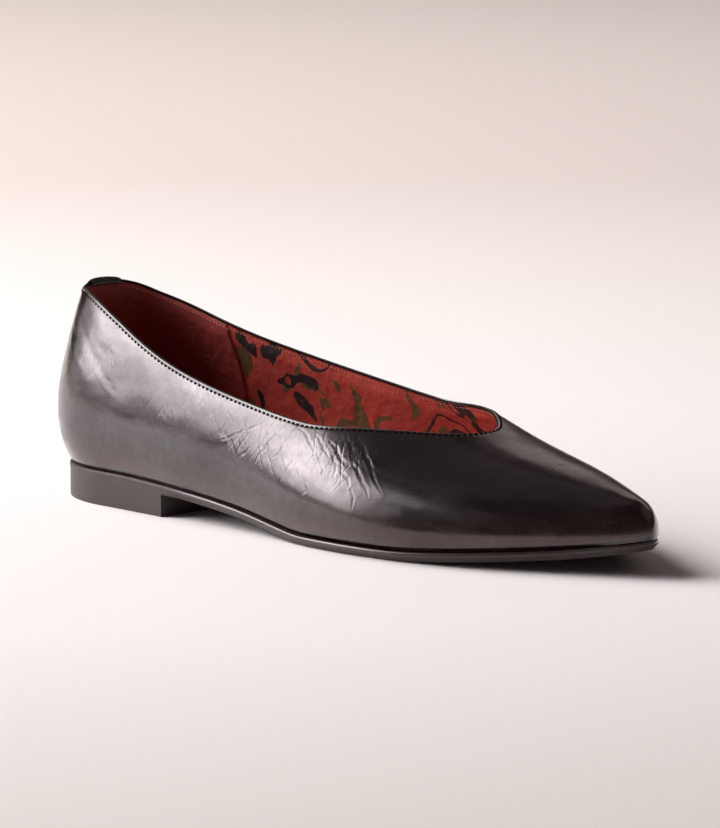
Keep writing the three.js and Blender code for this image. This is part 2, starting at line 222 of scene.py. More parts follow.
def rim_at(side, x):
    """Height of the rim on one side. Both sides meet at one height at the back."""
    both, half_gap = (outer_rim(x) + inner_rim(x)) / 2, (outer_rim(x) - inner_rim(x)) / 2
    return feather(x) + both - side * half_gap * smooth_step((x - 4) / 12)


rims = {side: partial(rim_at, side) for side in (OUTER, INNER)}
print("ball", BALL_WIDTH, "mm, throat at", THROAT, "mm")

# %% [markdown]
# ## The skin over the last
#
# One function gives every point of the upper's outer face. A turn says how far round the footprint, from
# the back at 0 to the tip at 1. A climb says how far up the side, from the featherline to the crest. Sections
# could be lofted instead, but a function gives the direction out of the leather at any point as well, and the
# lining, the stitches and the strip are laid by that.


# %% Footprint and skin
def footprint(side, turn):
    x = LAST_LENGTH * (1 - np.cos(np.pi * turn)) / 2
    heel = np.maximum(1 - x / HEEL_ROUND, 0)
    toe = np.maximum(1 - (LAST_LENGTH - x) / TOE_ROUND, 0)
    ends = np.sqrt(1 - heel**2) * np.sqrt(1 - toe**2)
    return x, middle(x) + side * plain_half(x) * ends


def folded(side, turn):
    """The same place counted on the other side, where a turn runs past either end."""
    past = (turn < 0) | (turn > 1)
    return np.where(past, -side, side), np.where(turn < 0, -turn, np.where(turn > 1, 2 - turn, turn))


def grown(side, turn, margin):
    step = 1e-4
    x0, y0 = footprint(*folded(side, turn - step))
    x1, y1 = footprint(*folded(side, turn + step))
    run = np.hypot(x1 - x0, y1 - y0)
    x, y = footprint(side, turn)
    return x - side * margin * (y1 - y0) / run, y + side * margin * (x1 - x0) / run


def crest_over(x):
    from_back = np.cbrt(x**3 + BACK_TURN**3)
    from_tip = np.cbrt((LAST_LENGTH - x) ** 3 + TOE_TURN**3)
    return from_back - (from_tip - (LAST_LENGTH - x))


def skin(side, turn, climb):
    side, turn = folded(side, turn)
    foot_x, foot_y = footprint(side, turn)
    top = crest_over(foot_x)
    dx, dy = foot_x - top, foot_y - middle(top)
    inward = np.maximum(np.cos(climb), 0) ** SHOULDER
    rise = np.sin(climb) ** FLANK
    peak = (1 + SWELL_DROP) ** (1 + SWELL_DROP) / SWELL_DROP**SWELL_DROP
    swell = swell_at(foot_x) * peak * rise * (1 - rise) ** SWELL_DROP
    reach = np.hypot(dx, dy)
    x = top + dx * inward + dx / reach * swell
    y = middle(top) + dy * inward + dy / reach * swell
    lean = smooth_step((top / LAST_LENGTH - LEAN_START) / (LEAN_WHOLE - LEAN_START))
    base = feather(foot_x)
    z = base + (crest(top) - base) * rise + crest_slope(top) * lean * (x - top) * rise**2
    return np.stack(np.broadcast_arrays(x, y, z), -1)


def skin_normal(side, turn, climb):
    step = 1e-3
    along = skin(side, turn + step, climb) - skin(side, turn - step, climb)
    low, high = np.maximum(climb - step, 0), np.minimum(climb + step, QUARTER_TURN)
    out = np.cross(along, skin(side, turn, high) - skin(side, turn, low)) * -side
    top = crest_over(footprint(side, turn)[0])
    ridge = np.stack(np.broadcast_arrays(-crest_slope(top), 0.0, 1.0), -1)
    out = np.where((climb > QUARTER_TURN - 1e-6)[..., None], ridge, out)
    return out / np.linalg.norm(out, axis=-1, keepdims=True)


# %% [markdown]
# ## The topline
#
# On the bench the upper is cut along a drawn line before it is pulled over the last. A Boolean cut would leave
# ragged faces at that line. Here each rib of the skin climbs only until it meets the height of the rim, found
# by halving, so the rows of faces run along the topline by themselves.


# %% Where the ribs end
def solve(rising, low, high):
    """Value at which each entry of a rising function passes zero."""
    for _ in range(50):
        guess = (low + high) / 2
        below = rising(guess) < 0
        low, high = np.where(below, guess, low), np.where(below, high, guess)
    return (low + high) / 2


throat_turn = float(solve(lambda t: crest_over(footprint(OUTER, t)[0]) - THROAT, 0.0, 1.0))


def rib_end(side, turn):
    def over_rim(climb):
        point = skin(side, turn, climb)
        return point[..., 2] - rims[side](point[..., 0])

    end = solve(over_rim, np.zeros_like(turn), np.full_like(turn, QUARTER_TURN))
    return np.where(turn >= throat_turn - 1e-9, QUARTER_TURN, end)


def rib_turns(open_ribs, vamp_ribs, bunching=1.35):
    """Turns of the ribs, closer together where the opening closes at the throat."""
    share = np.arange(open_ribs + 1) / open_ribs
    behind = throat_turn * (1 - (1 - share) ** bunching)
    ahead = throat_turn + (1 - throat_turn) * np.arange(1, vamp_ribs + 1) / vamp_ribs
    return np.concatenate([behind, ahead])


print("throat turn", round(throat_turn, 4))

# %% [markdown]
# ## Turning rows of points into pieces
#
# Every piece is a sheet of rows of points, given to Blender as a mesh. It is built in the last's millimetres
# and moved to the frame at the end. Doubled corners are welded, the faces turned outwards, and edges sharper
# than an angle are kept crisp under smooth shading. Each piece rides the one body, and where it takes a
# solid's place, that solid is hidden.


# %% Sheets and pieces
SHIFT = (HEEL_LENGTH - SOLE_EDGE) / 2


def sheet_faces(rows, columns, start=0, close=False):
    """Faces between neighbouring rows, and from the last row to the first if it closes."""
    faces = []
    for i in range(rows if close else rows - 1):
        a, b = start + i * columns, start + (i + 1) % rows * columns
        faces += [(a + j, b + j, b + j + 1, a + j + 1) for j in range(columns - 1)]
    return faces


def add_piece(name, points, faces, nodes=(), sharp=40, weld=True):
    points = np.asarray(points, float).reshape(-1, 3) - [SHIFT, 0, 0]
    mesh = bpy.data.meshes.new(name)
    mesh.from_pydata((points * MM).tolist(), [], faces)
    shape = bmesh.new()
    shape.from_mesh(mesh)
    if weld:
        bmesh.ops.remove_doubles(shape, verts=shape.verts, dist=2e-6)
    bmesh.ops.recalc_face_normals(shape, faces=shape.faces)
    shape.to_mesh(mesh)
    shape.free()
    mesh.shade_smooth()
    mesh.set_sharp_from_angle(angle=math.radians(sharp))
    piece = bpy.data.objects.new(name, mesh)
    bpy.context.collection.objects.link(piece)
    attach(piece, "root")
    if nodes:
        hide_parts(*nodes)
    print(name, len(mesh.polygons), "faces")
    return piece


# %% [markdown]
# ## Creases
#
# Polished leather breaks where the foot bends, at the ball and under the ankle. Creases could be sculpted or
# come from a noise, but a sculpt can't follow a changed last, and noise falls in the wrong places. Here each
# one is a soft trough between two low ridges, laid through three places on the outer side: x along
# the last and z above the floor, in millimetres. The broad rows near the end are dents in the quarter.

# %% Table of creases
# x and z of the top, the middle and the foot, then depth and half width
CREASES = [
    (123, 34, 118, 29, 113, 21, 0.045, 0.45),
    (126, 34, 126, 30, 122, 26, 0.04, 0.45),
    (116, 37, 112, 35, 107, 33, 0.035, 0.45),
    (97, 38.5, 100, 35.5, 102, 32.5, 0.03, 0.45),
    (107, 33.5, 102, 31, 96, 29, 0.03, 0.45),
    (112, 30, 108, 26, 104, 24, 0.03, 0.45),
    (131, 36, 136, 33.5, 141, 29.5, 0.04, 0.45),
    (138, 35, 143, 32, 147, 29, 0.04, 0.45),
    (140, 31, 145, 27, 148, 22, 0.035, 0.45),
    (133, 32, 137, 28, 139, 23, 0.03, 0.45),
    (144, 34, 151, 30, 155, 27, 0.045, 0.45),
    (148, 30, 151, 27, 153, 22, 0.035, 0.45),
    (153, 26, 157, 24, 160, 21, 0.04, 0.45),
    (150, 35, 155, 31.5, 159, 28, 0.04, 0.45),
    (153, 36, 159, 31.5, 173, 20, 0.06, 0.5),
    (155, 36, 160, 31, 168, 26, 0.045, 0.45),
    (160, 36, 164, 33, 167, 29, 0.035, 0.45),
    (166, 32, 171, 30, 177, 27, 0.035, 0.45),
    (157, 28, 163, 24, 168, 19, 0.04, 0.5),
    (141, 20, 141, 18.5, 140, 17, 0.035, 0.45),
    (160, 21.5, 162, 18.5, 163, 14.5, 0.03, 0.45),
    (19, 58, 24, 54, 32, 49, 0.22, 4.0),
    (16, 60, 24, 53, 42, 39, 0.06, 1.2),
    (12, 56, 17, 51, 24, 46, 0.05, 1.2),
    (26, 55, 31, 52, 38, 50, 0.04, 1.2),
    (50, 42, 52, 34, 51, 24, 0.16, 5.0),
    (74, 36, 76, 30, 74, 22, 0.12, 4.5),
]
INNER_DEPTH = 0.5
SWAY, TREMOR, FADE = 0.3, 0.15, 0.5
print(len(CREASES), "creases and dents")


def bow(t, start, middle_way, end):
    """Place at t on the curve that passes through three values at 0, a half and 1."""
    pull = 2 * middle_way - (start + end) / 2
    return (1 - t) ** 2 * start + 2 * t * (1 - t) * pull + t**2 * end


def crease_lift(x, z):
    """Height that the creases add to the skin, in millimetres. They waver a little and fade at their ends."""
    lift = np.zeros_like(x)
    for x0, z0, x1, z1, x2, z2, depth, width in CREASES:
        near = np.full_like(x, 1e9)
        for t in np.linspace(0, 1, 41):
            px, pz = bow(t, x0, x1, x2), bow(t, z0, z1, z2)
            px = px + SWAY * math.sin(9 * t + x0) + TREMOR * math.sin(23 * t + z0)
            near = np.minimum(near, np.hypot(x - px, z - pz) + FADE * abs(2 * t - 1) ** 3)
        u = near / width
        lift += depth * (0.45 * np.exp(-((u - 1.9) ** 2) / 0.5) - np.exp(-(u**2)))
    return lift


# %% [markdown]
# ## The upper
#
# The upper is one piece of thin leather: the vamp over the toes and a quarter on each side. Its rows of faces
# are close together where the creases lie and wide apart elsewhere, so that the mesh stays light. A plain
# subdivision would spend its faces on the smooth toe.

# %% Rows of the leather
RIM_WALL = 1.0
CREASED = (95, 178)
ROW_GAP, CREASED_GAP, INNER_GAP = 1.3, 0.3, 1.5
THROAT_ROWS, VAMP_ROWS, COLUMNS = 12, 78, 150
CLIMBS = np.linspace(0, 1, COLUMNS)


def turn_at(x):
    return np.arccos(1 - 2 * x / LAST_LENGTH) / np.pi


def leather_turns(side):
    """Rows of the leather, close together where the creases lie, and shared from the throat to the tip."""
    if side == OUTER:
        low, high = turn_at(CREASED[0]), turn_at(CREASED[1])
        back = np.linspace(0, low, round(CREASED[0] / ROW_GAP))
        mid = np.linspace(low, high, round((CREASED[1] - CREASED[0]) / CREASED_GAP))
        close = 1 - (1 - np.arange(1, THROAT_ROWS + 1) / THROAT_ROWS) ** 1.6
        behind = np.concatenate([back, mid[1:], high + (throat_turn - high) * close])
    else:
        share = np.arange(round(THROAT / INNER_GAP) + 1) / round(THROAT / INNER_GAP)
        behind = throat_turn * (1 - (1 - share) ** 1.35)
    ahead = throat_turn + (1 - throat_turn) * np.arange(1, VAMP_ROWS + 1) / VAMP_ROWS
    return np.concatenate([behind, ahead])


def rim_line(side, turns):
    end = rib_end(side, turns)
    normal = skin_normal(side, turns, end)
    return skin(side, turns, end) - normal * (RIM_WALL / 2), normal


def once_round(turns, sheet, inner_turns=None):
    """Rows of a sheet once round the shoe: the outer side to the tip, and the inner side back."""
    outer, inner = sheet(OUTER, turns), sheet(INNER, turns if inner_turns is None else inner_turns)
    return np.concatenate([outer, inner[-2:0:-1]])


# %% [markdown]
# Stitches, channel and lining all follow the rim, so each needs to know how far below it a point lies. A tree
# of the rim's points answers that quickly.

# %% Distance below the rim
open_turns = rib_turns(900, 1)[:-1]
rim_tree = KDTree(2 * len(open_turns))
for side in (OUTER, INNER):
    edge = skin(side, open_turns, rib_end(side, open_turns))
    for k, point in enumerate(edge):
        rim_tree.insert(point.tolist(), k)
rim_tree.balance()


def below_rim(points):
    flat = points.reshape(-1, 3)
    return np.array([rim_tree.find(p)[2] for p in flat.tolist()]).reshape(points.shape[:-1])


# %% [markdown]
# The leather itself lies on the skin. It tucks in at the sole, as it is pulled under there by the lasting. A
# shallow channel for the stitches runs round the collar, the creases lie in it, and at the rim it is skived to
# a thin edge.

# %% The leather
TUCK_HEEL, TUCK_BALL, TUCK_TIP, TUCK_RISE = 0.3, 0.8, 0.3, 1.3
CHANNEL_DEPTH, CHANNEL_HALF, CHANNEL_BELOW = 0.08, 0.35, 0.6


def leather_face(side, turns):
    turn, climb = turns[:, None], rib_end(side, turns)[:, None] * CLIMBS
    points, normal = skin(side, turn, climb), skin_normal(side, turn, climb)
    x, z = points[..., 0], points[..., 2]
    above = z - feather(x)
    tuck = TUCK_HEEL + (TUCK_BALL - TUCK_HEEL) * smooth_step((x - HEEL_LENGTH) / 80)
    tuck -= (TUCK_BALL - TUCK_TIP) * smooth_step((x - 220) / 30)
    lift = -tuck * (1 - smooth_step(above / TUCK_RISE))
    channel = np.exp(-(((below_rim(points) - CHANNEL_BELOW) / CHANNEL_HALF) ** 2))
    lift -= CHANNEL_DEPTH * channel
    strength = 1 if side == OUTER else INNER_DEPTH
    lift += strength * crease_lift(x, z)
    face = points + normal * lift[..., None]
    rim = points[:, -1:] - normal[:, -1:] * RIM_WALL
    foot = points[:, :1] - normal[:, :1] * WALL
    return np.concatenate([foot, face, rim], axis=1)


rows = once_round(leather_turns(OUTER), leather_face, leather_turns(INNER))
upper = add_piece(
    "upper_leather", rows, sheet_faces(*rows.shape[:2], close=True), ["upper"], 50
)

# %% [markdown]
# ## Collar
#
# A rolled bead stands on the rim, with a thin cut edge inside it that shows as a dark line. A curve with a
# bevel could make them, but it twists at the tight throat. A tube of rings doesn't, because each ring is set
# by the way out of the wall.


# %% Bead and lip
def tube(name, out, up, radius_out, radius_up, nodes=(), sides=14):
    """Tube along the rim, its middle moved out and up from the rim's own middle."""
    path, outward = [], []
    for side in (OUTER, INNER):
        turns = rib_turns(240, 1)[:-1]
        line, normal = rim_line(side, turns)
        path.append(line if side == OUTER else line[-2::-1])
        outward.append(normal if side == OUTER else normal[-2::-1])
    path, outward = np.concatenate(path)[:-1], np.concatenate(outward)[:-1]
    along = np.roll(path, -1, axis=0) - np.roll(path, 1, axis=0)
    lipward = np.cross(outward, along)
    lipward /= np.linalg.norm(lipward, axis=1, keepdims=True)
    angle = 2 * np.pi * np.arange(sides + 1) / sides
    centre = path + outward * out + lipward * up
    ring = centre[:, None] + outward[:, None] * (radius_out * np.cos(angle))[None, :, None]
    ring = ring + lipward[:, None] * (radius_up * np.sin(angle))[None, :, None]
    return add_piece(name, ring, sheet_faces(len(path), sides + 1, close=True), nodes)


bead = tube("topline_bead_roll", 0.22, 0.2, 0.27, 0.4, ["topline_bead"])
lip = tube("topline_lip", -0.32, 0.5, 0.16, 0.32)


# %% [markdown]
# A row of short stitches sits in the channel. Real stitches dip at both ends, so each is a flattened bead of
# thread. All of one row are joined in one mesh, laid at an even pitch along the line.


# %% Rows of stitches
def stitch_row(name, places, ups, outs, length, width, slot):
    """Small rounded stitches: each lies along its row, its flat side on the leather."""
    rings, faces = [], []
    lengthwise = np.linspace(-1, 1, 7)
    angle = 2 * np.pi * np.arange(7) / 6
    for k, (place, out) in enumerate(zip(places, outs)):
        along = ups[k]
        cross = np.cross(out, along)
        round_off = np.sqrt(np.maximum(1 - lengthwise**4, 0.02))
        spine = place + along * (length / 2) * lengthwise[:, None]
        ring = spine[:, None] + cross * (width / 2 * round_off[:, None] * np.cos(angle))[..., None]
        ring = ring + out * (width / 3 * round_off[:, None] * np.sin(angle))[..., None]
        faces += sheet_faces(7, 7, start=k * 49)
        rings.append(ring)
    return add_piece(name, np.concatenate(rings), faces, weld=False)


def along_row(side, below, pitch, depth_at):
    """Places every so far along a line that runs below the rim, on a face that lies in by a depth."""
    turns = rib_turns(900, 1)[:-1]
    end = rib_end(side, turns)
    rib = np.linalg.norm(skin(side, turns, end) - skin(side, turns, end - 0.02), axis=1) / 0.02
    climb = end - below / rib
    line = skin(side, turns, climb)
    line = line - skin_normal(side, turns, climb) * depth_at(line[:, :1])
    run = np.concatenate([[0], np.cumsum(np.linalg.norm(np.diff(line, axis=0), axis=1))])
    marks = np.arange(pitch / 2, run[-1], pitch)
    there = np.interp(marks, run, turns), np.interp(marks, run, climb)
    place, normal = skin(side, *there), skin_normal(side, *there)
    place = place - normal * depth_at(place[:, :1])
    along = np.stack([np.interp(marks + 0.2, run, line[:, k]) for k in range(3)], -1)
    along -= np.stack([np.interp(marks - 0.2, run, line[:, k]) for k in range(3)], -1)
    along /= np.linalg.norm(along, axis=1, keepdims=True)
    return place, along, normal


def both_sides(below, pitch, depth_at):
    rows = [along_row(side, below, pitch, depth_at) for side in (OUTER, INNER)]
    return [np.concatenate(part) for part in zip(*rows)]


PROUD = 0.03
in_channel = partial(np.full_like, fill_value=CHANNEL_DEPTH - PROUD)
line = both_sides(CHANNEL_BELOW, pitch=2.0, depth_at=in_channel)
stitches = stitch_row("collar_stitches", *line, length=1.3, width=0.85, slot="upper_leather")
print(len(line[0]), "stitches round the collar")

# %% [markdown]
# ## Back strip
#
# A narrow strip covers the back seam of the two quarters, turns over the topline and ends just inside. It could
# be bent with a modifier, but it has to lie on a skin that curves two ways. So it is built from columns: each
# runs up the skin, round the rim in a half circle and down inside.

# %% Back strip
STRIP_TOP, STRIP_FOOT = 15, 10
LINING_TAPER, HEEL_LINING = 5, 0.6
STRIP_THICKNESS, STRIP_FOLD, STRIP_RISE = 0.5, 0.7, 1.2
STRIP_REACH = (-0.85, 1)


def strip_column(across):
    """One column of the strip, from its foot up, over the rim and down inside."""
    side = OUTER if across < 0 else INNER
    share = abs(across)

    def turn_for(width, climb):
        def past(turn):
            return abs(skin(side, turn, climb)[..., 1] - middle(0)) - share * width / 2

        return solve(past, 0 * climb, 0 * climb + 0.3) if share else 0 * climb

    top_turn = turn_for(STRIP_TOP, rib_end(side, np.array([0.0])))
    end = float(rib_end(side, top_turn)[0])
    foot = float((STRIP_RISE / crest_height(0)) ** (1 / FLANK))
    way = np.linspace(0, 1, 40)
    climb = foot + (end - foot) * way
    turn = turn_for(STRIP_FOOT + (STRIP_TOP - STRIP_FOOT) * way, climb)
    base, out = list(skin(side, turn, climb)), list(skin_normal(side, turn, climb))
    gap = [*np.full(30, 0.05), *np.linspace(0.05, 0.1, 10)]
    rim = skin(side, top_turn, np.array([end]))[0]
    normal = out[-1]
    upward = rim - skin(side, top_turn, np.array([end - 0.02]))[0]
    upward /= np.linalg.norm(upward)
    for angle in np.linspace(0, np.pi, 14)[1:-1]:
        base.append(rim - normal * (RIM_WALL / 2))
        out.append(normal * np.cos(angle) + upward * np.sin(angle))
        inward = (HEEL_LINING + 0.1) * (angle / np.pi) ** 2
        gap.append(RIM_WALL / 2 + 0.1 + 0.25 * np.sin(angle) + inward)
    for way in np.linspace(0, 1, 8):
        climb = np.array([end * (1 - STRIP_FOLD / (rim[2] - feather(0)) * way)])
        base.append(skin(side, top_turn, climb)[0])
        out.append(-skin_normal(side, top_turn, climb)[0])
        skived = (WALL - RIM_WALL) * float(smooth_step(way * STRIP_FOLD / LINING_TAPER))
        gap.append(RIM_WALL + HEEL_LINING + 0.2 + skived)
    return np.array(base), np.array(out), np.array(gap)[:, None]


near, far = [], []
for across in np.linspace(*STRIP_REACH, 25):
    base, out, gap = strip_column(across)
    edge = abs(2 * (across - STRIP_REACH[0]) / (STRIP_REACH[1] - STRIP_REACH[0]) - 1)
    thin = STRIP_THICKNESS * (0.1 + 0.9 * (1 - edge**6))
    near.append(base + out * gap)
    far.append(base + out * (gap + thin))
grid = np.concatenate([np.array(far), np.array(near)[::-1]])
columns = grid.shape[1]
strip_faces = sheet_faces(len(grid), columns, close=True)
backstay = add_piece("back_strip", grid, strip_faces, ["backstay"])

# %% [markdown]
# ## Lining and sock
#
# The lining lies inside the wall and follows it from under the sock to the rim. It could share the upper's
# mesh, but it is another leather with its own grain, so it is a sheet of its own. A separate heel lining laps
# over it as far as a seam, whose thick edge shows as a dark line.

# %% Lining
SEAM_X, SEAM_LEAN, SEAM_BELLY = 45, -0.012, 0.006
LAP_GAP, EDGE_RUN, TOP_RUN = 0.1, 0.6, 0.03


def lining_depth(below):
    """How far in the lining lies: the wall's thickness, less where the leather is skived at the rim."""
    return RIM_WALL + 0.05 + (WALL - RIM_WALL) * smooth_step(below / LINING_TAPER)


def lining_face(side, turns):
    turn, climb = turns[:, None], rib_end(side, turns)[:, None] * np.linspace(0.02, 1, 60)
    points = skin(side, turn, climb)
    return points - skin_normal(side, turn, climb) * lining_depth(below_rim(points))[..., None]


rows = once_round(rib_turns(160, 70), lining_face)
lining = add_piece("lining", rows, sheet_faces(*rows.shape[:2], close=True))


def heel_lining_face(side):
    last = float(solve(lambda t: footprint(side, t)[0] - SEAM_X, 0.0, 1.0))
    way = np.linspace(0.02, 1, 50)
    reach = last + SEAM_LEAN * way + SEAM_BELLY * np.sin(np.pi * way)
    share = 1 - (1 - np.linspace(0, 1, 60)) ** 1.6
    turn = share[:, None] * reach
    climb = rib_end(side, turn.ravel()).reshape(turn.shape) * way
    to_edge = (reach - turn) * LAST_LENGTH
    points = skin(side, turn, climb)
    thick = HEEL_LINING * smooth_step(to_edge / EDGE_RUN) * smooth_step((1 - way) / TOP_RUN)
    inset = lining_depth(below_rim(points)) + LAP_GAP + thick
    return points - skin_normal(side, turn, climb) * inset[..., None]


outer_half, inner_half = heel_lining_face(OUTER), heel_lining_face(INNER)
rows = np.concatenate([outer_half[::-1], inner_half[1:]])
heel_lining = add_piece("heel_lining", rows, sheet_faces(*rows.shape[:2]))

# %% [markdown]
# A row of reddish stitches holds the lining just under the rim. It lies on the heel lining at the back and on
# the printed lining in front of it, so its depth changes where the lap ends.

# %% Stitches of the lining
ROW_BELOW, LAP_END = 1.1, 42
on_heel = lining_depth(ROW_BELOW) + LAP_GAP + HEEL_LINING
on_print = lining_depth(ROW_BELOW)
place, along, normal = both_sides(
    ROW_BELOW, pitch=1.5, depth_at=lambda x: np.where(x < LAP_END, on_heel, on_print)
)
lining_stitches = stitch_row(
    "lining_stitches", place, along, -normal, length=0.95, width=0.4, slot="lining"
)
print(len(place), "stitches in the lining")


# %% [markdown]
# The sock is the thin plate that the foot stands on. It is cut to the footprint, so it is made of rings grown
# from that, and filled across from side to side. A fan of faces from its middle would pinch.


# %% Sock
def plate_rings(turns, levels):
    """Rings of a plate round the footprint, each with its margin and height."""
    rings = []
    for margin, height in levels:

        def edge(side, turns):
            plain = grown(side, turns, 0)[0]
            x, y = grown(side, turns, margin(plain))
            return np.stack([x, y, height(x)], -1)

        rings.append(once_round(turns, edge))
    return np.array(rings)


def plate(name, turns, levels, nodes, sharp=40):
    """Closed plate: its rings, and its top and bottom filled across from side to side."""
    rings = plate_rings(turns, levels)
    count, size = len(turns), rings.shape[1]
    faces = sheet_faces(len(rings), size)
    for k in range(len(rings) - 1):
        a, b = k * size, (k + 1) * size
        faces.append((a + size - 1, b + size - 1, b, a))
    for start in (0, (len(rings) - 1) * size):
        for i in range(count - 1):
            left = (start + i, start + i + 1)
            right = (start + (size - i) % size, start + size - i - 1)
            quad = (left[0], left[1], right[1], right[0])
            faces.append(tuple(dict.fromkeys(quad)))
    return add_piece(name, rings, faces, nodes, sharp)


SOCK, SOCK_SHOULDER = 3, 0.9
side_in = -(WALL + FIT_GAP)
sock_levels = [
    (lambda x: side_in - SOCK_SHOULDER, lambda x: feather(x) + SOCK),
    (lambda x: side_in - 0.3 * SOCK_SHOULDER, lambda x: feather(x) + SOCK - 0.3 * SOCK_SHOULDER),
    (lambda x: side_in, lambda x: feather(x) + SOCK - SOCK_SHOULDER),
    (lambda x: side_in, lambda x: feather(x)),
]
sock = plate("sock", rib_turns(120, 60), sock_levels, ["insole"])

# %% [markdown]
# ## Sole and heel
#
# The sole and its low heel show no seam, so they are one piece. Its side has a rounded rim, an upright band
# and a bevel that starts past the heel. The heel's breast is a straight upright cut. A bevel modifier would
# round every edge alike, so the steps are drawn as one profile and carried round the footprint.

# %% Sole and heel
RIM_OUT, RIM_DOWN, RIDGE_DROP, BEVEL, BEVEL_RUN = 0.45, 1.0, 1.4, 1.2, 9
FOOT_ROUND = 0.4
TIP_IN, TIP_START, TIP_RUN = 0.85, 232, 20


def edge_out(x):
    """How far the sole stands out past the footprint, drawn in towards the tip."""
    return SOLE_EDGE * (1 - TIP_IN * smooth_step((x - TIP_START) / TIP_RUN))


def side_profile(x, on_heel):
    """Margins and heights down the side at each place, from under the upper to the ground."""
    top, ground = sole_top(x), np.zeros_like(x) if on_heel else underside(x)
    bevel = 0 * x if on_heel else BEVEL * smooth_step((x - HEEL_LENGTH) / BEVEL_RUN)
    turn = np.linspace(0, QUARTER_TURN, 8)
    steps = [(0 * x - 2.5, top)]
    for a in turn:
        steps.append((edge_out(x) - RIM_OUT * (1 - np.sin(a)), top - RIM_DOWN * (1 - np.cos(a))))
    steps.append((edge_out(x), top - RIDGE_DROP + 0.15))
    steps.append((edge_out(x) - 0.12, top - RIDGE_DROP))
    steps.append((edge_out(x) - 0.15 - 0.1 * bevel, top - RIDGE_DROP - 0.15 * (not on_heel)))
    foot = edge_out(x) - 0.1 - bevel
    steps.append((foot, ground + FOOT_ROUND))
    steps.append((foot - 0.12, ground + 0.12))
    steps.append((foot - FOOT_ROUND, ground))
    return steps


def sole_side(side):
    breast = float(solve(lambda t: grown(side, t, SOLE_EDGE)[0] - HEEL_LENGTH, 0.0, 0.6))
    heel_turns = np.linspace(0, breast, 90)
    fore_turns = breast + (1 - breast) * (1 - (1 - np.linspace(0, 1, 220)) ** 1.2)
    columns = []
    for turns, on_heel in ((heel_turns, True), (fore_turns, False)):
        plain = grown(side, turns, 0)[0]
        for margin, height in side_profile(plain, on_heel):
            x, y = grown(side, turns, margin)
            columns.append(np.stack([x, y, height], -1))
    half = len(columns) // 2
    return np.concatenate([np.array(columns[:half]), np.array(columns[half:])], axis=1)


outer_side, inner_side = sole_side(OUTER), sole_side(INNER)
section = np.concatenate([outer_side, inner_side[::-1]])
levels, count = section.shape[:2]
sole = add_piece(
    "sole_and_heel", section, sheet_faces(levels, count, close=True), ["outsole", "heel"], 30
)


# %% [markdown]
# Finishes need to know where on the shoe they are. A painted picture would need its own map for each piece.
# A share written at every corner of a mesh does the same: the first one picks out the polished rim of the sole.


# %% Shares at the corners
def mark(piece, name, share_at):
    """Write a share between 0 and 1 at each corner of a piece, worked out from its place on the last."""
    place = np.array([v.co for v in piece.data.vertices]) / MM + [SHIFT, 0, 0]
    layer = piece.data.attributes.new(name, "FLOAT", "POINT")
    layer.data.foreach_set("value", share_at(*place.T).astype(np.float32))


def rim_share(x, y, z):
    return smooth_step((z - sole_top(x) + 1.1) / 0.3) * smooth_step((x - HEEL_LENGTH) / 25)


mark(sole, "rim", rim_share)

# %% [markdown]
# ## Materials
#
# Each finish is built from noise at several scales: colour, gloss and bump all vary a little, as worn leather
# does. Painted pictures could carry more detail, but they would need unwrapped pieces and a fixed size.


# %% Node helper
class Finish:
    """A node material with short calls for the nodes that the finishes share."""

    def __init__(self, name):
        self.material = bpy.data.materials.new(name)
        self.material.use_nodes = True
        self.tree = self.material.node_tree
        self.shader = self.tree.nodes["Principled BSDF"]
        self.place = self.tree.nodes.new("ShaderNodeTexCoord").outputs["Object"]

    def feed(self, socket, value):
        """Link another node's output to a socket, or set a plain value on it."""
        if isinstance(value, bpy.types.NodeSocket):
            self.tree.links.new(value, socket)
        else:
            socket.default_value = (*value, 1) if socket.type == "RGBA" else value

    def node(self, kind, **inputs):
        made = self.tree.nodes.new("ShaderNode" + kind)
        for key, value in inputs.items():
            self.feed(made.inputs[key.replace("_", " ")], value)
        return made

    def noise(self, per_metre, detail=4, rough=0.55, place=None, warp=0):
        spots = {"Scale": per_metre, "Detail": detail, "Roughness": rough, "Distortion": warp}
        return self.node("TexNoise", Vector=place or self.place, **spots).outputs["Fac"]

    def ramp(self, source, low, high, low_value, high_value):
        """source from low to high, mapped onto low_value to high_value."""
        ends = {"From_Min": low, "From_Max": high, "To_Min": low_value, "To_Max": high_value}
        return self.node("MapRange", Value=source, **ends).outputs["Result"]

    def mix(self, share, a, b):
        made = self.node("Mix")
        made.data_type = "RGBA"
        for number, value in ((0, share), (6, a), (7, b)):
            self.feed(made.inputs[number], value)
        return made.outputs[2]

    def share(self, name):
        made = self.node("Attribute")
        made.attribute_name = name
        return made.outputs["Fac"]

    def math(self, operation, a, b):
        made = self.node("Math")
        made.operation = operation
        self.feed(made.inputs[0], a)
        self.feed(made.inputs[1], b)
        return made.outputs[0]

    def bump(self, height, distance, strength=1.0, normal=None):
        made = self.node("Bump", Height=height, Distance=distance, Strength=strength)
        if normal is not None:
            self.feed(made.inputs["Normal"], normal)
        return made.outputs["Normal"]

    def set(self, **inputs):
        """Give the shader these inputs, and give back the material."""
        for key, value in inputs.items():
            self.feed(self.shader.inputs[key.replace("_", " ")], value)
        return self.material


# %% [markdown]
# The finish has cracked in fine nets over the ball and behind it, and a little at the heel. Low on the side a
# brownish band is painted in: a painted reflection of the warm floor. Both are shares at the corners again, one
# from a short table of patches and one from the height over the featherline.

# %% Where the skin is broken, and where the floor's reflection is painted
BROKEN = [(120, 29, 28, 9, 1.0), (152, 31, 12, 8, 0.9), (34, 48, 9, 6, 0.8), (75, 36, 30, 12, 0.25)]


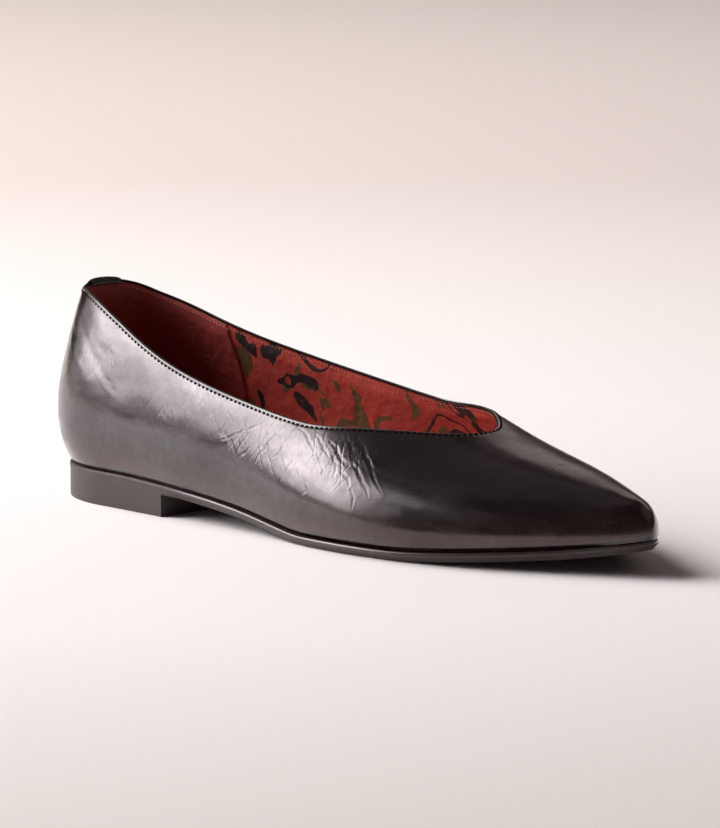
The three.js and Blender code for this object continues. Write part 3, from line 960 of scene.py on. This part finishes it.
def broken_share(x, y, z):
    """Share of fine breaks, from the table: middle x and z, reach in x and z, strength."""
    share = np.zeros(len(x))
    for mid_x, mid_z, reach_x, reach_z, strength in BROKEN:
        away = ((x - mid_x) / reach_x) ** 2 + ((z - mid_z) / reach_z) ** 2
        share = np.maximum(share, strength * np.exp(-away))
    return share * np.where(y < 0, 1, INNER_DEPTH)


def floor_reflection_share(above):
    """Share of the brownish band of painted floor reflection, by height over the featherline in millimetres."""
    return smooth_step((above - 0.9) / 1.2) * (1 - smooth_step((above - 3) / 12))


mark(upper, "broken", broken_share)
# The low share marks the band where the floor's reflection is painted.
mark(upper, "low", lambda x, y, z: floor_reflection_share(z - feather(x)))

# %% [markdown]
# Two nets of thin cuts cross each other, one leaning forward and one back. Each comes from cells drawn out
# along one direction and bent by noise, which gives broken, pointed lines. A plain noise would give blots.

# %% Nets of thin cuts
CUT_WIDTH, BEND = 0.12, 1.2


def break_lines(finish, tilt, per_metre, stretch):
    """Height of a net of thin cuts, its cells drawn out along a direction that leans by tilt degrees."""
    turned = finish.node("VectorRotate", Vector=finish.place, Axis=(0, 1, 0), Angle=math.radians(tilt))
    flat = finish.node("Mapping", Vector=turned.outputs["Vector"], Rotation=(QUARTER_TURN, 0, 0))
    flat.inputs["Scale"].default_value = (1, 1, stretch)
    drawn = flat.outputs["Vector"]
    bent = finish.node("TexNoise", Vector=drawn, Scale=per_metre * 0.8, Detail=2)
    moved = finish.node("VectorMath")
    moved.operation = "MULTIPLY_ADD"
    for number, value in enumerate((bent.outputs["Color"], [BEND / per_metre] * 3, drawn)):
        finish.feed(moved.inputs[number], value)
    cells = finish.node("TexVoronoi", Vector=moved.outputs["Vector"], Scale=per_metre)
    cells.feature, cells.voronoi_dimensions = "DISTANCE_TO_EDGE", "2D"
    return finish.ramp(cells.outputs["Distance"], 0.0, CUT_WIDTH, 0, 1)


# %% [markdown]
# Polished black leather is nearly black, with a thin clear coat over a soft relief. The coat is patchy: that
# blurs the edge of a highlight and lets the leather's own duller gloss through.

# %% Polished leather
polish = Finish("polished_black_leather")
drawn = polish.node("Mapping", Vector=polish.place, Scale=(0.35, 1, 1.6))
streaks = polish.noise(120, 3, 0.5, place=drawn.outputs["Vector"])
cloud = polish.noise(60, 3)
grain = polish.noise(2600, 5, 0.6)
colour = polish.mix(cloud, (0.004, 0.0027, 0.003), (0.008, 0.0055, 0.006))
# Painted reflection: low on the side the base turns brown, as if mirroring the warm floor.
painted_reflection_brown = polish.mix(streaks, (0.008, 0.0045, 0.004), (0.028, 0.017, 0.013))
colour = polish.mix(polish.share("low"), colour, painted_reflection_brown)
gloss = polish.ramp(streaks, 0.35, 0.65, 0.2, 0.32)
relief = polish.bump(grain, 0.00003, 0.3)
relief = polish.bump(polish.noise(260, 3), 0.00008, 0.25, relief)
relief = polish.bump(polish.noise(40, 2), 0.0009, 0.5, relief)
patchy = polish.ramp(polish.noise(110, 2), 0.35, 0.65, 0.4, 1)
amount = polish.math("MULTIPLY", polish.share("broken"), patchy)
for tilt, per_metre, stretch in ((-32, 190, 0.22), (28, 220, 0.2)):
    relief = polish.bump(break_lines(polish, tilt, per_metre, stretch), 0.00008, amount, relief)
# The warm specular tint low on the side is part of the same painted floor reflection.
tint = polish.mix(polish.share("low"), (1, 0.93, 0.94), (0.92, 0.72, 0.69))
coat = polish.ramp(polish.noise(38, 3), 0.35, 0.65, 0.15, 0.65)
coat = polish.math("MULTIPLY", coat, polish.ramp(polish.noise(420, 4, 0.65), 0.35, 0.65, 0.6, 1.2))
black = polish.set(Base_Color=colour, Roughness=gloss, Normal=relief, IOR=1.75, Specular_Tint=tint)
polish.set(Coat_Weight=coat, Coat_Roughness=0.12, Coat_Normal=relief)
for piece in (upper, backstay):
    piece.data.materials.append(black)

# %% [markdown]
# The rolled bead shines more than the quarter, because its thin leather is stretched over a cord. Its colour is
# a lighter grey than the quarter's: a painted reflection on black leather. The cut edge inside it is painted
# and matt.

# %% Bead and cut edge
rolled = Finish("rolled_bead_leather")
cloud = rolled.noise(300, 3)
# Painted reflection: the grey of this black leather bead.
colour = rolled.mix(cloud, (0.035, 0.03, 0.031), (0.06, 0.052, 0.053))
relief = rolled.bump(rolled.noise(2600, 4), 0.00003, 0.4)
gloss = rolled.ramp(cloud, 0.3, 0.7, 0.17, 0.26)
rolled.set(Base_Color=colour, Roughness=gloss, Normal=relief)
bead.data.materials.append(rolled.set(IOR=1.9, Coat_Weight=0.6))

cut = Finish("painted_cut_edge")
colour = cut.mix(cut.noise(300, 3), (0.004, 0.003, 0.003), (0.012, 0.009, 0.009))
matt = cut.ramp(cut.noise(900, 3), 0.3, 0.7, 0.45, 0.6)
lip.data.materials.append(cut.set(Base_Color=colour, Roughness=matt))

# %% [markdown]
# Waxed thread has a twist, which shows as a fine bump along each stitch. A real twist in the mesh would cost
# many faces and never be seen.

# %% Thread
thread = Finish("black_thread")
twist = thread.noise(3000, 3)
colour = thread.mix(twist, (0.003, 0.002, 0.002), (0.01, 0.008, 0.008))
waxed_thread = thread.set(Base_Color=colour, Roughness=0.85, Specular_IOR_Level=0.1)
thread.set(Normal=thread.bump(twist, 0.00005, 0.5))
stitches.data.materials.append(waxed_thread)
red_thread = Finish("red_thread")
twist = red_thread.noise(3000, 3)
colour = red_thread.mix(twist, (0.55, 0.2, 0.15), (0.75, 0.33, 0.26))
red_thread.set(Base_Color=colour, Roughness=0.75)
dyed_thread = red_thread.set(Normal=red_thread.bump(twist, 0.00005, 0.5))
lining_stitches.data.materials.append(dyed_thread)


# %% [markdown]
# Three red leathers line the shoe: a printed one, the heel lining and the sock. They share a grain, so one
# function makes all three. The print is a plain one of rings and leaves cut out of two noises.


# %% Lining leather
def red_leather(name, dark, light):
    """Finish of matt leather with its colour and its grain, both ready to be changed or set."""
    finish = Finish(name)
    cloud = finish.noise(45, 4)
    colour = finish.mix(cloud, dark, light)
    grain = finish.noise(1500, 5, 0.6)
    relief = finish.bump(grain, 0.0002, 0.5)
    relief = finish.bump(finish.noise(300, 4), 0.001, 0.5, relief)
    return finish, colour, finish.bump(finish.noise(70, 3), 0.002, 0.5, relief)


finish, colour, relief = red_leather("printed_lining", (0.6, 0.085, 0.062), (0.78, 0.135, 0.1))
moved = finish.node("Mapping", Vector=finish.place, Location=(0.031, 0.008, 0.017))
swirl = finish.noise(47, 2, 0.4, place=moved.outputs["Vector"], warp=1.5)
ring = finish.math("SUBTRACT", finish.ramp(swirl, 0.565, 0.575, 0, 1), finish.ramp(swirl, 0.64, 0.65, 0, 1))
leaves = finish.ramp(finish.noise(76, 1, 0.4, warp=2.0), 0.6, 0.612, 0, 0.9)
colour = finish.mix(leaves, colour, (0.16, 0.14, 0.06))
colour = finish.mix(ring, colour, (0.05, 0.036, 0.038))
lining.data.materials.append(finish.set(Base_Color=colour, Roughness=0.45, Normal=relief))

finish, colour, relief = red_leather("heel_lining_leather", (0.36, 0.06, 0.052), (0.5, 0.09, 0.075))
heel_lining.data.materials.append(finish.set(Base_Color=colour, Roughness=0.6, Normal=relief))
finish, colour, relief = red_leather("sock_leather", (0.2, 0.035, 0.025), (0.28, 0.05, 0.035))
sock.data.materials.append(finish.set(Base_Color=colour, Roughness=0.6, Normal=relief))

# %% [markdown]
# The edge of the sole is dyed and waxed. Its fibres run along the shoe, so the noise is squeezed upwards, and
# the rounded rim is polished brighter than the band below it.

# %% Sole edge
waxed = Finish("waxed_sole_edge")
stretch = waxed.node("Mapping", Vector=waxed.place, Scale=(1, 1, 14))
fibre = waxed.noise(260, 5, 0.65, place=stretch.outputs["Vector"])
cloud = waxed.noise(40, 3)
colour = waxed.mix(cloud, (0.043, 0.033, 0.031), (0.066, 0.052, 0.048))
relief = waxed.bump(fibre, 0.00012, 0.3)
polished = waxed.math("MULTIPLY", waxed.share("rim"), 0.3)
rough = waxed.math("SUBTRACT", waxed.ramp(fibre, 0.3, 0.7, 0.42, 0.58), polished)
coat = waxed.math("MULTIPLY", waxed.share("rim"), 0.5)
waxed.set(Base_Color=colour, Roughness=rough, Normal=relief)
sole.data.materials.append(waxed.set(Coat_Weight=coat, Coat_Roughness=0.18))
print("finishes:", ", ".join(material.name for material in bpy.data.materials))

# %% [markdown]
# ## Floor, light and camera
#
# The shoe stands on a plain pale floor, with painted shade that darkens it a little away from the shoe. Beyond
# the floor the room is dim. Polished leather mirrors that dim part, and so it draws the dark band along the
# side.

# %% Floor
FLOOR = 4.5
corners = [(-FLOOR, -FLOOR, 0), (FLOOR, -FLOOR, 0), (FLOOR, FLOOR, 0), (-FLOOR, FLOOR, 0)]
mesh = bpy.data.meshes.new("floor")
mesh.from_pydata(corners, [], [(0, 1, 2, 3)])
floor = bpy.data.objects.new("floor", mesh)
bpy.context.collection.objects.link(floor)
pale = Finish("pale_floor")
away = pale.node("VectorMath", Vector=pale.place)
away.operation = "LENGTH"
tint = pale.mix(pale.noise(2, 3), (0.86, 0.85, 0.845), (0.89, 0.88, 0.875))
# Painted shade: the floor's colour darkens with distance from the shoe, where less light falls.
tint = pale.mix(pale.ramp(away.outputs["Value"], 0.25, 0.9, 0, 1), tint, (0.69, 0.64, 0.61))
floor.data.materials.append(pale.set(Base_Color=tint, Roughness=0.75))


# %% [markdown]
# Polished leather shows its lights as pictures, so each light is a soft pane in a chosen place. One large pane
# with a brighter middle stands front left: the quarter shines and the vamp stays dark. Fainter ones give the
# back, the collar and the toe their gleams. The last lights the floor but isn't mirrored.


# %% Lights
def softbox(name, azimuth, elevation, distance, width, height, power, colour):
    """Soft light aimed at the shoe. Azimuth 0 stands on -Y and 90 on +X."""
    data = bpy.data.lights.new(name, "AREA")
    data.shape, data.size, data.size_y = "RECTANGLE", width, height
    data.energy, data.color = power, colour
    light = bpy.data.objects.new(name, data)
    a, e = math.radians(azimuth), math.radians(elevation)
    back = Vector((math.sin(a) * math.cos(e), -math.cos(a) * math.cos(e), math.sin(e)))
    light.location = Vector((0.06, 0, 0.03)) + back * distance
    light.rotation_mode = "QUATERNION"
    light.rotation_quaternion = back.to_track_quat("Z", "Y")
    bpy.context.collection.objects.link(light)
    return light


DAYLIGHT = (1, 0.93, 0.945)
softbox("window", -53, 24, 1.5, 1.0, 1.0, 13.7, DAYLIGHT)
softbox("window_core", -52, 25, 1.48, 0.5, 0.55, 4.1, DAYLIGHT)
softbox("side_pane", -28, 43, 1.5, 0.25, 0.2, 0.24, DAYLIGHT)
softbox("window_edge", -78, 18, 1.5, 0.4, 0.9, 0.9, DAYLIGHT)
softbox("far_wall", -142, 24, 2.0, 2.4, 0.6, 2.0, (1, 0.85, 0.82))
softbox("ceiling", -100, 64, 2.2, 2.0, 1.6, 0.8, (1, 0.8, 0.82))
softbox("toe_card", 135, 42, 1.6, 1.6, 1.2, 0.9, (1, 0.85, 0.87))
wash = softbox("room_light", -79, 38, 3.0, 1.8, 1.8, 128, (1, 0.96, 0.935))
wash.visible_glossy = False
world = bpy.data.worlds.new("room")
world.use_nodes = True
world.node_tree.nodes["Background"].inputs["Color"].default_value = (1, 0.68, 0.62, 1)
world.node_tree.nodes["Background"].inputs["Strength"].default_value = 0.045
bpy.context.scene.world = world
bpy.context.scene.view_settings.view_transform = "Standard"
print("lights:", ", ".join(light.name for light in bpy.data.lights))

# %% [markdown]
# The camera looks at the outer side from towards the toe, a little from above and from two metres away. Its
# focal length is given in pixels of the picture's width and turned into millimetres on the film.

# %% Camera
AZIMUTH, ELEVATION, ROLL = 45.5, 8.7, -0.55
DISTANCE, FOCAL_PIXELS, PICTURE_WIDTH, FILM_WIDTH = 2105, 6620, 720, 36
AIM = Vector((127.2 - SHIFT, 0.2, 36.9))
a, e, roll = (math.radians(v) for v in (AZIMUTH, ELEVATION, ROLL))
back = Vector((math.sin(a) * math.cos(e), -math.cos(a) * math.cos(e), math.sin(e)))
level = Vector((math.cos(a), math.sin(a), 0))
up = back.cross(level)
right = level * math.cos(roll) + up * math.sin(roll)
up = back.cross(right)
lens = bpy.data.cameras.new("camera")
lens.sensor_fit, lens.sensor_width = "HORIZONTAL", FILM_WIDTH
lens.lens = FILM_WIDTH * FOCAL_PIXELS / PICTURE_WIDTH
lens.clip_start, lens.clip_end = 0.1, 30
camera = bpy.data.objects.new("camera", lens)
camera.matrix_world = Matrix((right, up, back)).transposed().to_4x4()
camera.location = (AIM + back * DISTANCE) * MM
bpy.context.collection.objects.link(camera)
bpy.context.scene.camera = camera
print("camera at", [round(v, 3) for v in camera.location], "m")
